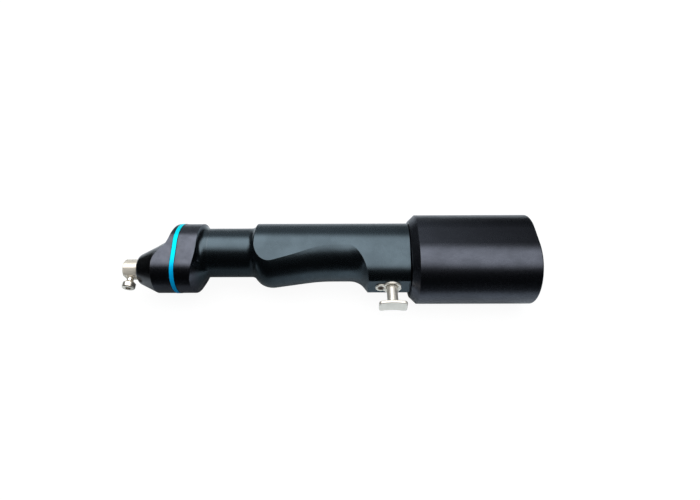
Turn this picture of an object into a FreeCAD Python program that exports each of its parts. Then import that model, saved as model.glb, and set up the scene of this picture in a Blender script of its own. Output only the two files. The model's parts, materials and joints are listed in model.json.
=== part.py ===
import FreeCAD, Part
import math
import os

# Battery-powered surgical drill, in line, with an output shaft set below the motor axis.
# Millimetres. The origin is the centre of the chuck's mouth on the output axis.
# +X runs rearward to the battery, -Y is the way the trigger points, and the tool
# lies on its flat side, so +Z is up.

# Lengths along the tool, from the chuck's mouth rearward
nose_len = 12.2
cap_len = 11.4
ring_len = 3.1
housing_len = 17.2
neck_len = 29.8
grip_len = 97.1

# Cross-sections: the body is the outline of two circles joined by their tangents
top_r = 19.0
gear_room_clear = 1.75
neck_wall = 2.0
casing_r = 23.7
casing_spread = 12.45
casing_drop = 5.42

# Gear pair that carries the motor's turn down to the output axis
gear_module = 0.7
pinion_teeth = 14
gear_teeth = 24
gear_width = 6.0
pinion_len = 7.0
gear_side_gap = 0.5
pressure_deg = 20.0
tooth_backlash = 0.10
tooth_root = 1.25
flank_steps = 3

# Nose cone and front cap
nose_face_r = 9.1
nose_edge_round = 3.2
nose_wall = 2.0
nose_hole_gap = 0.35
nose_spigot_len = 2.5
nose_spigot_wall = 1.0
cap_cone_deg = 28.5
cap_flare_r = 7.5
cap_face_deg = 75.8
cap_edge_back = 0.3
lip_inset = 2.2
lip_thick = 2.0
lip_len = 5.1
ring_proud = 0.15

# Output spindle, its chuck and its clamp screw
chuck_step = 0.65
chuck_bore_r = 4.0
spindle_wall = 2.0
chuck_bore_depth = 30.0
chuck_edge = 0.5
flat_width = 7.2
flat_past_nose = 0.8
tail_r = 4.0
tail_len = 6.0
key_width = 2.0
sleeve_wall = 1.2
key_len = 5.0
clamp_back = 3.7
clamp_nose_gap = 1.65
clamp_turn_deg = 10.5
clamp_thread_r = 2.0
clamp_head_r = 3.95
clamp_head_len = 4.5
clamp_head_gap = 3.0
clamp_socket_r = 2.0
clamp_socket_depth = 2.6
clamp_edge = 0.9
clamp_shoulder = 1.3
clamp_boss_r = 3.0
clamp_boss_rise = 0.35
pad_r = 1.7
pad_thick = 0.7
pad_pin_r = 0.8
pad_pin_len = 1.2
pad_clear = 0.2

# Ball bearings
front_bearing_r = 10.5
front_bearing_width = 5.0
front_ball_r = 1.3
front_ball_count = 9
rear_bearing_r = 8.0
rear_bearing_width = 5.0
rear_ball_r = 1.1
rear_ball_count = 8
motor_bearing_r = 6.5
motor_bearing_width = 4.0
motor_bearing_land_r = 5.4
motor_bearing_hub_r = 3.6
shield_thick = 0.4
ball_play = 0.03
shoulder_clear = 0.55
bearing_step = 1.2
tail_relief_len = 1.5

# Lip seal round the spindle
seal_r = 8.2
seal_len = 2.6

# Gear housing
gear_room_len = 6.2
rear_wall_len = 6.0
rear_cone_start = 9.0
rear_cone_deg = 57.0
rear_face_start = 11.55
rear_face_deg = 73.0
pinion_hole_r = 6.2
housing_spigot_len = 5.0
boss_step = 1.7

# Motor
can_r = 13.9
can_gap = 0.1
can_wall = 1.0
flange_len = 4.0
end_bell_len = 4.0
end_spigot_len = 3.0
shaft_r = 2.5
shaft_hole_gap = 1.0
shaft_short = 1.0
stator_len = 32.0
rotor_r = 7.1
air_gap = 0.5
rotor_len = 30.0
slot_count = 6
slot_width = 4.6
slot_depth = 3.4
slot_inset = 1.2
coil_gap = 0.15
coil_overhang = 1.8
coil_room_front = 1.7
coil_room_rear = 0.7
sensor_board_thick = 1.0
motor_screw_circle_r = 9.0
motor_screw_r = 1.25
motor_screw_head_r = 2.0
motor_screw_head_len = 1.8
motor_screw_grip = 5.0
motor_screw_count = 3
lead_r = 0.55
lead_apart = 1.5
lead_on_board = 4.5

# Handle: inner room and the finger cut under the grip
grip_wall = 3.0
motor_rear_gap = 1.0
step_flat = 0.5
step_hollow_deg = 60.0
edge_break = 0.35
cut_clear = 0.15
ramp_foot_back = -2.3
ramp_foot_up = 3.2
crest_back = 5.4
crest_drop = 5.6
waist_back = 40.2
waist_drop = -0.1
rise_back = 31.6
rise_deg = 57.0
rise_run = 9.6
ramp_round = 5.0
crest_round = 12.0
waist_round = 100.0
rise_round = 11.0

# Trigger
facet_cut = 1.25
trigger_back = 11.3
stem_r = 3.3
trigger_stroke = 6.0
blade_clear = 5.0
stem_tail = 1.15
blade_len = 17.1
blade_width = 9.0
blade_thick = 2.0
blade_sag = 0.9
blade_corner = 2.0
blade_edge = 0.45
clip_seat_sink = 0.4
clip_seat_gap = 0.9
clip_ledge = 1.0
clip_wide = 1.4
clip_notch = 2.0
clip_thick = 0.8
clip_groove = 0.5
ledge_gap = 0.5
bush_wall = 1.65
stem_seal_wall = 1.0
stem_seal_len = 1.5
stem_seal_set = 1.0
magnet_r = 1.5
magnet_len = 3.0
spring_r = 2.7
spring_wire = 0.6
spring_turns = 6
spring_seat_depth = 3.0
spring_seat_r = 3.6
hall_size = 2.0
hall_thick = 0.8
plate_r = 5.85
plate_hole_gap = 0.45
plate_ear_r = 3.3
plate_ear_reach = 6.9
plate_thick = 1.0
plate_edge = 0.4
plate_dish_wide = 0.8
plate_dish_deep = 0.5
plate_web_round = 1.2
plate_screw_r = 1.2
plate_screw_head_r = 1.7
plate_screw_head_gap = 0.4
plate_screw_head_len = 0.6
plate_screw_sink = 0.15
plate_screw_len = 7.0
plate_screw_socket_r = 0.85
plate_screw_socket_deep = 0.45

# Electronics in the grip
tray_rise = 5.4
tray_thick = 1.6
tray_front = 6.0
tray_rear = 1.9
board_wide_part = 1.5
board_thick = 1.6
board_front = 3.0
board_rear = 5.0
switch_size = 4.4
switch_height = 1.5
switch_count = 6
switch_pitch = 6.2
switch_start = 7.0
capacitor_r = 4.5
capacitor_len = 12.0
capacitor_start = 4.0
capacitor_apart = 12.0
chip_size = 7.0
chip_height = 1.0
chip_start = 27.0
board_screw_r = 0.9
board_screw_head_r = 1.6
board_screw_head_len = 1.0
board_screw_inset = 2.6

# Battery joint
block_wall = 2.0
block_flange_len = 3.5
block_ring_len = 1.5
spigot_step = 2.4
spigot_len = 6.6
pin_r = 1.2
pin_circle_r = 8.0
pin_count = 4
pin_len = 12.5
pin_proud = 0.3
pin_tail_back = 0.65
pin_tail_on_board = 3.0
seal_width = 1.8
seal_deep = 1.4
seal_back = 2.3

# Battery
seam_gap = 0.4
casing_front_inset = 4.0
casing_front_len = 4.6
casing_wall = 2.0
casing_rear_round = 0.9
end_cap_inset = 1.2
end_cap_thick = 2.2
end_boss_r = 3.2
end_boss_len = 12.0
end_boss_sink = 0.4
end_screw_r = 1.25
end_screw_head_r = 2.4
end_screw_head_len = 1.4
end_screw_len = 9.0
cell_r = 9.2
cell_len = 65.0
cell_gap = 0.2
carrier_thick = 4.0
carrier_gap = 0.1
link_thick = 0.3
link_width = 8.0
contact_gap = 0.3
contact_plate_thick = 1.2
guard_board_thick = 1.2
guard_board_width = 20.0
guard_board_gap = 0.7
end_screw_socket_r = 1.4
end_screw_socket_deep = 1.0
end_screw_spare = 1.0

# Clearances
near_zero = 0.01
form_spare = 2.0
screw_gap = 0.1
running_gap = 0.05
slide_gap = 0.05
rest_gap = 0.3

# The gear pair sets how far the output axis, at y = 0, lies below the motor axis
axis_offset = gear_module * (pinion_teeth + gear_teeth) / 2
gear_tip_r = gear_module * (gear_teeth / 2 + 1)

# Radii that follow from what they hold
low_r = gear_tip_r + gear_room_clear + lip_thick + lip_inset
journal_r = chuck_bore_r + spindle_wall
chuck_r = journal_r + chuck_step
nose_spigot_r = front_bearing_r + nose_spigot_wall
neck_bore_r = can_r + can_gap
neck_r = neck_bore_r + neck_wall
boss_r = can_r - boss_step
stator_bore_r = rotor_r + air_gap
room_r = top_r - grip_wall
step_rise = top_r - neck_r - step_flat
block_r = top_r - block_wall
spigot_r = block_r - spigot_step
bush_r = stem_r + running_gap + bush_wall
clip_r = stem_r + clip_wide

# Depths below the motor axis, in the way the trigger points
facet_depth = axis_offset + low_r - facet_cut
facet_y = axis_offset - facet_depth
clip_seat_depth = room_r + clip_seat_sink
clip_depth = clip_seat_depth - running_gap - clip_thick
stem_end_depth = clip_depth - stem_tail

# Heights of the two circles of the battery casing
casing_mid_y = axis_offset - casing_drop
casing_high_y = casing_mid_y + casing_spread / 2
casing_low_y = casing_mid_y - casing_spread / 2

# Stations along X
nose_x = clamp_back + clamp_head_r + clamp_nose_gap
cap_x = nose_x + nose_len
ring_x = cap_x + cap_len
housing_x = ring_x + ring_len
neck_x = housing_x + housing_len
grip_x = neck_x + neck_len
seam_x = grip_x + grip_len
front_bearing_x = cap_x + nose_spigot_len
gear_room_x = housing_x + gear_room_len
gear_x = gear_room_x - gear_side_gap - gear_width
motor_face_x = gear_room_x + rear_wall_len
flange_x = neck_x + housing_spigot_len
can_x = flange_x + flange_len
stator_x = can_x + coil_room_front + coil_overhang
sensor_board_x = stator_x + stator_len + coil_overhang + coil_room_rear
bell_spigot_x = sensor_board_x + sensor_board_thick
bell_x = bell_spigot_x + end_spigot_len
room_x = bell_x + end_bell_len + motor_rear_gap
block_x = seam_x - block_ring_len - block_flange_len
tray_x = room_x + tray_front
tray_len = block_x - tray_rear - tray_x
trigger_x = seam_x - trigger_back
pin_end_x = seam_x + spigot_len + pin_proud
contact_plate_x = pin_end_x + contact_gap
battery_room_x = contact_plate_x + contact_plate_thick
cell_x = battery_room_x + rest_gap + link_thick
end_cap_x = cell_x + cell_len + link_thick + rest_gap
end_x = end_cap_x + end_cap_thick

parts = {}


def point(x, y, z):
    return FreeCAD.Vector(x, y, z)


# Plain solids along X, round the output axis or the motor axis
def rod(x, length, radius, y=0.0, z=0.0):
    return Part.makeCylinder(radius, length, point(x, y, z), point(1, 0, 0))


def tube(x, length, outer, inner, y=0.0, z=0.0):
    return rod(x, length, outer, y, z).cut(rod(x, length, inner, y, z))


# A solid turned round the X axis at height y from a closed outline of (x, radius) points
def turned(outline, y=0.0):
    corners = [point(x, y + radius, 0) for x, radius in outline]
    face = Part.Face(Part.makePolygon(corners + corners[:1]))
    return face.revolve(point(0, y, 0), point(1, 0, 0), 360)


# The outline of two circles joined by their tangents, in the plane at x
def egg_wire(x, high_y, high_r, low_y, low_circle_r):
    lean = math.asin((high_r - low_circle_r) / (high_y - low_y))
    high_side = high_r * math.cos(lean)
    low_side = low_circle_r * math.cos(lean)
    high_join = high_y - high_r * math.sin(lean)
    low_join = low_y - low_circle_r * math.sin(lean)
    left_high = point(x, high_join, high_side)
    right_high = point(x, high_join, -high_side)
    left_low = point(x, low_join, low_side)
    right_low = point(x, low_join, -low_side)
    over = Part.Arc(left_high, point(x, high_y + high_r, 0), right_high).toShape()
    under = Part.Arc(right_low, point(x, low_y - low_circle_r, 0), left_low).toShape()
    right = Part.LineSegment(right_high, right_low).toShape()
    left = Part.LineSegment(left_low, left_high).toShape()
    return Part.Wire([over, right, under, left])


def egg(x, length, inset=0.0):
    wire = egg_wire(x, axis_offset, top_r - inset, 0.0, low_r - inset)
    return Part.Face(wire).extrude(point(length, 0, 0))


def casing_wire(x, inset=0.0):
    return egg_wire(x, casing_high_y, casing_r - inset, casing_low_y, casing_r - inset)


def casing_block(x, length, inset=0.0):
    return Part.Face(casing_wire(x, inset)).extrude(point(length, 0, 0))


# A line through the points with each inner corner rounded to its own radius
def rounded_path(points, radii):
    edges = []
    start = points[0]
    for i, radius in enumerate(radii):
        corner = points[i + 1]
        back = (points[i] - corner).normalize()
        ahead = (points[i + 2] - corner).normalize()
        half = back.getAngle(ahead) / 2
        reach = radius / math.tan(half)
        enter = corner + back * reach
        leave = corner + ahead * reach
        middle = corner + (back + ahead).normalize() * (radius / math.sin(half) - radius)
        edges.append(Part.LineSegment(start, enter).toShape())
        edges.append(Part.Arc(enter, middle, leave).toShape())
        start = leave
    edges.append(Part.LineSegment(start, points[-1]).toShape())
    return Part.Wire(edges)


# Radius and run of a hollow arc that rises by a height until it leans at an angle to X
def hollow_arc(rise, lean_deg):
    lean = math.radians(lean_deg)
    radius = rise / (1 - math.cos(lean))
    return radius, radius * math.sin(lean)


# The form turned from a closed outline of lines and one arc, given as its edges
def turned_edges(edges, y):
    face = Part.Face(Part.Wire(edges))
    return face.revolve(point(0, y, 0), point(1, 0, 0), 360)


def lines(points):
    return [Part.LineSegment(points[i], points[i + 1]).toShape() for i in range(len(points) - 1)]


# A stiff wire along the points, with a ball at each corner
def wire(points, radius):
    pieces = [Part.makeSphere(radius, bend) for bend in points[1:-1]]
    for i in range(len(points) - 1):
        run = points[i + 1] - points[i]
        pieces.append(Part.makeCylinder(radius, run.Length, points[i], run))
    return pieces[0].multiFuse(pieces[1:])


# Ball bearings: two races with a ball groove each, and the balls between them
def bearing(x, width, bore, outside, ball, count, y):
    pitch = (bore + outside) / 2
    middle = x + width / 2
    groove = Part.makeTorus(pitch, ball + ball_play, point(middle, y, 0), point(1, 0, 0))
    outer = tube(x, width, outside, pitch + shoulder_clear, y).cut(groove)
    inner = tube(x, width, pitch - shoulder_clear, bore, y).cut(groove)
    balls = []
    for i in range(count):
        turn = 2 * math.pi * i / count
        centre = point(middle, y + pitch * math.cos(turn), pitch * math.sin(turn))
        balls.append(Part.makeSphere(ball, centre))
    return outer, inner, Part.makeCompound(balls)


# Involute gear outline, with one tooth centred on the angle start_deg from +Y towards +Z
def gear_face(x, teeth, y, start_deg):
    pitch_r = gear_module * teeth / 2
    tip_r = pitch_r + gear_module
    root_r = pitch_r - tooth_root * gear_module
    pressure = math.radians(pressure_deg)
    base_r = pitch_r * math.cos(pressure)
    half_pitch_angle = (math.pi * gear_module - tooth_backlash) / (4 * pitch_r)
    involute_at_pitch = math.tan(pressure) - pressure
    first_r = max(base_r, root_r)
    radii = [first_r + (tip_r - first_r) * step / flank_steps for step in range(flank_steps + 1)]
    flank = []
    for radius in radii:
        roll = math.acos(min(1.0, base_r / radius))
        offset = half_pitch_angle + involute_at_pitch - (math.tan(roll) - roll)
        flank.append((radius, offset))
    if root_r < base_r:
        flank.insert(0, (root_r, flank[0][1]))
    corners = []
    for tooth in range(teeth):
        middle = math.radians(start_deg) + 2 * math.pi * tooth / teeth
        rising = [(radius, middle - offset) for radius, offset in flank]
        falling = [(radius, middle + offset) for radius, offset in reversed(flank)]
        for radius, angle in rising + falling:
            corners.append(point(x, y + radius * math.cos(angle), radius * math.sin(angle)))
    return Part.Face(Part.makePolygon(corners + corners[:1]))


def toothed_wheel(x, length, teeth, y, bore, start_deg):
    wheel = gear_face(x, teeth, y, start_deg).extrude(point(length, 0, 0))
    return wheel.cut(rod(x, length, bore, y))


# A plain screw along a direction: head from the seat outward, shank inward
def screw(seat, outward, head_r, head_len, shank_r, shank_len, socket_r=0.0, socket_deep=0.0):
    head = Part.makeCylinder(head_r, head_len, seat, outward)
    shank = Part.makeCylinder(shank_r, shank_len, seat, outward * -1)
    body = head.fuse(shank).removeSplitter()
    if socket_r > 0:
        body = body.cut(hex_socket(seat + outward * (head_len - socket_deep), outward, socket_r, socket_deep))
    return body


# True for a full circular edge of the given radius
def round_edge(edge, radius):
    return hasattr(edge.Curve, "Radius") and abs(edge.Curve.Radius - radius) < near_zero


def hex_socket(start, outward, corner_r, depth):
    across = outward.cross(point(1, 0, 0)) if abs(outward.x) < 0.9 else point(0, 1, 0)
    across.normalize()
    beside = outward.cross(across)
    corners = []
    for i in range(6):
        turn = math.pi * i / 3
        corner = start + across * (corner_r * math.cos(turn)) + beside * (corner_r * math.sin(turn))
        corners.append(corner)
    return Part.Face(Part.makePolygon(corners + corners[:1])).extrude(outward * depth)


# Nose: a cone with a rounded front edge, hollow for the seal and the front bearing
def make_nose():
    outline = [(nose_x, 0), (nose_x, nose_face_r), (cap_x, low_r), (cap_x, 0)]
    cone = turned(outline)
    front_edges = []
    for edge in cone.Edges:
        box = edge.BoundBox
        if abs(box.XMax - nose_x) < near_zero and abs(box.YMax - nose_face_r) < near_zero:
            front_edges.append(edge)
    cone = cone.makeFillet(nose_edge_round, front_edges)
    spigot = rod(cap_x, nose_spigot_len, nose_spigot_r)
    hole = rod(nose_x, nose_wall, chuck_r + nose_hole_gap)
    seal_pocket = rod(nose_x + nose_wall, seal_len, seal_r)
    shoulder_x = nose_x + nose_wall + seal_len
    inner_r = nose_spigot_r - nose_wall
    room = rod(shoulder_x, cap_x + nose_spigot_len - shoulder_x, inner_r)
    cone = cone.fuse(spigot)
    for hollow in (hole, seal_pocket, room):
        cone = cone.cut(hollow)
    parts["nose_cone"] = cone.removeSplitter()
    parts["nose_seal"] = tube(nose_x + nose_wall, seal_len, seal_r, chuck_r + running_gap)


# The front cap's outer form turned round the output axis: cone, hollow flare, leaning face
def cap_turned_form():
    cone_slope = math.tan(math.radians(cap_cone_deg))
    face_slope = math.tan(math.radians(cap_face_deg))
    edge_x = ring_x - cap_edge_back
    edge_r = axis_offset + top_r
    over_r = edge_r + form_spare
    start = point(cap_x, low_r, 0)
    end = point(edge_x + form_spare / face_slope, over_r, 0)
    corner_x = (edge_r - low_r - face_slope * edge_x + cone_slope * cap_x) / (cone_slope - face_slope)
    corner = point(corner_x, low_r + cone_slope * (corner_x - cap_x), 0)
    profile = rounded_path([start, corner, end], [cap_flare_r])
    closing = [end, point(ring_x, over_r, 0), point(ring_x, 0, 0), point(cap_x, 0, 0), start]
    sides = []
    for i in range(4):
        sides.append(Part.LineSegment(closing[i], closing[i + 1]).toShape())
    face = Part.Face(Part.Wire(profile.Edges + sides))
    return face.revolve(point(0, 0, 0), point(1, 0, 0), 360)


def make_front_cap():
    cap = egg(cap_x, cap_len).common(cap_turned_form())
    lip = egg(ring_x, lip_len, lip_inset).cut(egg(ring_x, lip_len, lip_inset + lip_thick))
    cap = cap.fuse(lip)
    cap = cap.cut(rod(cap_x, nose_spigot_len, nose_spigot_r))
    cap = cap.cut(rod(front_bearing_x, front_bearing_width, front_bearing_r))
    cap = cap.cut(rod(front_bearing_x, ring_x - front_bearing_x, front_bearing_r - bearing_step))
    parts["front_cap"] = cap.removeSplitter()


def make_colour_ring():
    band = egg(ring_x, ring_len, -ring_proud)
    parts["colour_ring"] = band.cut(egg(ring_x, ring_len, lip_inset))


# The gear housing's rear, turned twice: a leaning face with a hollow round the neck, and a
# cone behind the output shaft
def housing_rear_form():
    radius, run = hollow_arc(top_r - neck_r, rear_face_deg)
    half = math.radians(rear_face_deg / 2)
    face_x = housing_x + rear_face_start
    outer = axis_offset + low_r + form_spare
    outer_x = face_x - (outer - top_r) / math.tan(math.radians(rear_face_deg))
    high = axis_offset + neck_r
    foot = point(face_x + run, high, 0)
    top = point(face_x, axis_offset + top_r, 0)
    middle = point(foot.x - radius * math.sin(half), high + radius * (1 - math.cos(half)), 0)
    start_x = housing_x - form_spare
    past_x = neck_x + form_spare
    below = [top, point(outer_x, axis_offset + outer, 0), point(start_x, axis_offset + outer, 0),
             point(start_x, axis_offset, 0), point(past_x, axis_offset, 0), point(past_x, high, 0), foot]
    face_form = turned_edges([Part.Arc(foot, middle, top).toShape()] + lines(below), axis_offset)
    cone_x = housing_x + rear_cone_start
    slope = math.tan(math.radians(rear_cone_deg))
    wide = low_r + form_spare
    outline = [(start_x, 0), (start_x, wide), (cone_x - form_spare / slope, wide)]
    outline.append((cone_x + low_r / slope, 0))
    return face_form.fuse(turned(outline))


def make_gear_housing():
    body = egg(housing_x, housing_len).common(housing_rear_form())
    body = body.fuse(rod(neck_x, housing_spigot_len, neck_bore_r, axis_offset))
    body = body.cut(egg(housing_x, lip_len - ring_len, lip_inset))
    body = body.cut(egg(housing_x, gear_room_len, lip_inset + lip_thick))
    body = body.cut(rod(gear_room_x, rear_bearing_width, rear_bearing_r))
    body = body.cut(rod(gear_room_x, rear_bearing_width + tail_relief_len, rear_bearing_r - bearing_step))
    body = body.cut(rod(gear_room_x, rear_wall_len, pinion_hole_r, axis_offset))
    body = body.cut(rod(motor_face_x, flange_x - motor_face_x, boss_r, axis_offset))
    for y, z in motor_screw_places():
        body = body.cut(rod(gear_room_x, rear_wall_len, motor_screw_r + screw_gap, y, z))
    parts["gear_housing"] = body.removeSplitter()


def motor_screw_places():
    places = []
    for i in range(motor_screw_count):
        turn = 2 * math.pi * i / motor_screw_count
        y = axis_offset + motor_screw_circle_r * math.cos(turn)
        places.append((y, motor_screw_circle_r * math.sin(turn)))
    return places


# Output spindle with the chuck in its front end
def clamp_direction():
    turn = math.radians(clamp_turn_deg)
    return point(0, -math.cos(turn), -math.sin(turn))


def flat_depth():
    return math.sqrt(chuck_r ** 2 - (flat_width / 2) ** 2)


def make_spindle():
    step_x = front_bearing_x
    tail_x = gear_x + gear_width
    outline = [(0, 0), (0, chuck_r - chuck_edge), (chuck_edge, chuck_r), (step_x, chuck_r)]
    outline += [(step_x, journal_r), (tail_x, journal_r), (tail_x, tail_r)]
    outline += [(tail_x + tail_len, tail_r), (tail_x + tail_len, 0)]
    spindle = turned(outline)
    spindle = spindle.cut(rod(0, chuck_bore_depth, chuck_bore_r))
    outward = clamp_direction()
    beside = outward.cross(point(1, 0, 0))
    corner = outward * flat_depth() - beside * chuck_r
    cutter = Part.makeBox(nose_x + flat_past_nose, 2 * chuck_r, chuck_r)
    cutter.Placement = FreeCAD.Placement(corner, FreeCAD.Rotation(point(1, 0, 0), beside, outward))
    spindle = spindle.cut(cutter)
    hole_start = point(clamp_back, 0, 0)
    boss_start = hole_start + outward * chuck_bore_r
    boss_len = flat_depth() + clamp_boss_rise - chuck_bore_r
    boss = Part.makeCylinder(clamp_boss_r, boss_len, boss_start, outward)
    spindle = spindle.fuse(boss.cut(rod(0, chuck_bore_depth, chuck_bore_r)))
    spindle = spindle.cut(Part.makeCylinder(clamp_thread_r + running_gap, chuck_r, hole_start, outward))
    spindle = spindle.cut(key_block())
    parts["chuck_spindle"] = spindle.removeSplitter()


def key_block():
    start = gear_x + (gear_width - key_len) / 2
    corner = point(start, journal_r - key_width / 2, -key_width / 2)
    return Part.makeBox(key_len, key_width, key_width, corner)


def make_clamp():
    outward = clamp_direction()
    inward = outward * -1
    seat = point(clamp_back, 0, 0) + outward * (flat_depth() + clamp_head_gap)
    tip_depth = chuck_bore_r + pad_thick + pad_clear
    shank_len = flat_depth() + clamp_head_gap - tip_depth
    screw_body = screw(seat, outward, clamp_head_r, clamp_head_len, clamp_thread_r, shank_len,
                       clamp_socket_r, clamp_socket_depth)
    tip = point(clamp_back, 0, 0) + outward * tip_depth
    top = seat + outward * clamp_head_len
    rims = [edge for edge in screw_body.Edges if round_edge(edge, clamp_head_r)]
    rims = [edge for edge in rims if edge.Curve.Center.distanceToPoint(top) < near_zero]
    screw_body = screw_body.makeFillet(clamp_edge, rims)
    shoulders = [edge for edge in screw_body.Edges if round_edge(edge, clamp_head_r)]
    shoulders = [edge for edge in shoulders if edge.Curve.Center.distanceToPoint(seat) < near_zero]
    screw_body = screw_body.makeChamfer(clamp_shoulder, shoulders)
    pin_hole = Part.makeCylinder(pad_pin_r + running_gap, pad_pin_len + running_gap, tip, outward)
    screw_body = screw_body.cut(pin_hole)
    parts["clamp_screw"] = screw_body
    pad = Part.makeCylinder(pad_r, pad_thick, tip + inward * (pad_thick + running_gap), outward)
    pin = Part.makeCylinder(pad_pin_r, pad_pin_len, tip + inward * running_gap, outward)
    parts["clamp_pad"] = pad.fuse(pin)


# Gears on the two shafts, in mesh, with a key that turns the big one with its spindle
def make_gears():
    wheel_start = 0.0
    pinion_start = 180.0 + 180.0 / pinion_teeth
    wheel = toothed_wheel(gear_x, gear_width, gear_teeth, 0.0, journal_r, wheel_start)
    parts["output_gear"] = wheel.cut(key_block())
    parts["gear_key"] = key_block()
    pinion_x = gear_x - (pinion_len - gear_width)
    pinion = toothed_wheel(pinion_x, pinion_len, pinion_teeth, axis_offset, shaft_r, pinion_start)
    parts["drive_pinion"] = pinion
    sleeve_x = front_bearing_x + front_bearing_width
    parts["spacer_sleeve"] = tube(sleeve_x, gear_x - sleeve_x, journal_r + sleeve_wall, journal_r)


def make_bearings():
    outer, inner, balls = bearing(front_bearing_x, front_bearing_width, journal_r, front_bearing_r,
                                  front_ball_r, front_ball_count, 0.0)
    parts["front_bearing_outer"] = outer
    parts["front_bearing_inner"] = inner
    parts["front_bearing_balls"] = balls
    outer, inner, balls = bearing(gear_room_x, rear_bearing_width, tail_r, rear_bearing_r,
                                  rear_ball_r, rear_ball_count, 0.0)
    parts["rear_bearing_outer"] = outer
    parts["rear_bearing_inner"] = inner
    parts["rear_bearing_balls"] = balls
    outers = []
    inners = []
    shields = []
    for x in (motor_face_x, bell_spigot_x):
        outers.append(tube(x, motor_bearing_width, motor_bearing_r, motor_bearing_land_r, axis_offset))
        inners.append(tube(x, motor_bearing_width, motor_bearing_hub_r, shaft_r, axis_offset))
        for side_x in (x, x + motor_bearing_width - shield_thick):
            shields.append(tube(side_x, shield_thick, motor_bearing_land_r, motor_bearing_hub_r + running_gap,
                                axis_offset))
    parts["motor_bearing_outers"] = Part.makeCompound(outers)
    parts["motor_bearing_inners"] = Part.makeCompound(inners)
    parts["motor_bearing_shields"] = Part.makeCompound(shields)


# Brushless motor: flange, can, stator, coils, sensor board, end bell and rotor
def make_motor():
    flange = rod(motor_face_x, flange_x - motor_face_x, boss_r, axis_offset)
    flange = flange.fuse(rod(flange_x, flange_len, can_r, axis_offset))
    flange = flange.cut(rod(motor_face_x, motor_bearing_width, motor_bearing_r, axis_offset))
    flange = flange.cut(rod(motor_face_x, can_x - motor_face_x, motor_bearing_r - bearing_step, axis_offset))
    screws = []
    for y, z in motor_screw_places():
        seat = point(gear_room_x, y, z)
        grip = rear_wall_len + motor_screw_grip
        flange = flange.cut(rod(motor_face_x, motor_screw_grip, motor_screw_r, y, z))
        screws.append(screw(seat, point(-1, 0, 0), motor_screw_head_r, motor_screw_head_len,
                            motor_screw_r, grip))
    parts["motor_flange"] = flange.removeSplitter()
    parts["motor_screws"] = Part.makeCompound(screws)
    can_inner = can_r - can_wall
    parts["motor_can"] = tube(can_x, bell_x - can_x, can_r, can_inner, axis_offset)
    core = tube(stator_x, stator_len, can_inner, stator_bore_r, axis_offset)
    coils = []
    for i in range(slot_count):
        turn = FreeCAD.Rotation(point(1, 0, 0), 360 * i / slot_count)
        slot_low = stator_bore_r + slot_inset
        slot = Part.makeBox(stator_len, slot_depth, slot_width, point(0, slot_low, -slot_width / 2))
        slot.Placement = FreeCAD.Placement(point(stator_x, axis_offset, 0), turn)
        core = core.cut(slot)
        coil = Part.makeBox(stator_len + 2 * coil_overhang, slot_depth - 2 * coil_gap,
                            slot_width - 2 * coil_gap,
                            point(-coil_overhang, slot_low + coil_gap, coil_gap - slot_width / 2))
        coil.Placement = FreeCAD.Placement(point(stator_x, axis_offset, 0), turn)
        coils.append(coil)
    parts["stator_core"] = core
    lead_x = stator_x + stator_len + coil_overhang
    lead_len = tray_x + board_front + lead_on_board - lead_x
    lead_holes = []
    for i in (-1, 0, 1):
        coils[0] = coils[0].fuse(rod(lead_x, lead_len, lead_r, lead_height(), i * lead_apart))
        lead_holes.append(rod(lead_x, lead_len, lead_r + screw_gap, lead_height(), i * lead_apart))
    parts["stator_coils"] = Part.makeCompound(coils)
    rotor_x = stator_x + (stator_len - rotor_len) / 2
    parts["rotor_magnet"] = tube(rotor_x, rotor_len, rotor_r, shaft_r, axis_offset)
    shaft_x = gear_x - (pinion_len - gear_width)
    parts["rotor_shaft"] = rod(shaft_x, bell_x + end_bell_len - shaft_short - shaft_x, shaft_r, axis_offset)
    bell = rod(bell_x, end_bell_len, can_r, axis_offset)
    bell = bell.fuse(rod(bell_spigot_x, end_spigot_len, can_inner, axis_offset))
    bell = bell.cut(rod(bell_spigot_x, motor_bearing_width, motor_bearing_r, axis_offset))
    bell = bell.cut(rod(bell_spigot_x, end_spigot_len + end_bell_len, shaft_r + shaft_hole_gap, axis_offset))
    sensor_board = tube(sensor_board_x, sensor_board_thick, can_inner, stator_bore_r, axis_offset)
    for hole in lead_holes:
        bell = bell.cut(hole)
        sensor_board = sensor_board.cut(hole)
    parts["motor_end_bell"] = bell.removeSplitter()
    parts["motor_sensor_board"] = sensor_board


# The finger cut: a half-round form swept under the grip along its dipping line
def finger_form():
    cut_r = top_r + cut_clear
    rise_x = seam_x - rise_back
    run = rise_run
    rise = run * math.tan(math.radians(rise_deg))
    line = [(neck_x - form_spare, -ramp_foot_up), (grip_x + ramp_foot_back, -ramp_foot_up)]
    line += [(grip_x + crest_back, crest_drop), (grip_x + waist_back, waist_drop)]
    line += [(rise_x, waist_drop), (rise_x + run, waist_drop + rise)]
    points = [point(x, axis_offset - drop, 0) for x, drop in line]
    path = rounded_path(points, [ramp_round, crest_round, waist_round, rise_round])
    x = points[0].x
    y = points[0].y
    high = y + top_r + cut_r
    bowl = Part.Arc(point(x, y, cut_r), point(x, y - cut_r, 0), point(x, y, -cut_r)).toShape()
    right = Part.LineSegment(point(x, y, -cut_r), point(x, high, -cut_r)).toShape()
    over = Part.LineSegment(point(x, high, -cut_r), point(x, high, cut_r)).toShape()
    left = Part.LineSegment(point(x, high, cut_r), point(x, y, cut_r)).toShape()
    sweep = Part.BRepOffsetAPI.MakePipeShell(path)
    sweep.setTrihedronMode(point(0, 0, 0), point(1, 0, 0))
    sweep.add(Part.Wire([bowl, right, over, left]))
    sweep.build()
    sweep.makeSolid()
    return sweep.shape()


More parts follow.
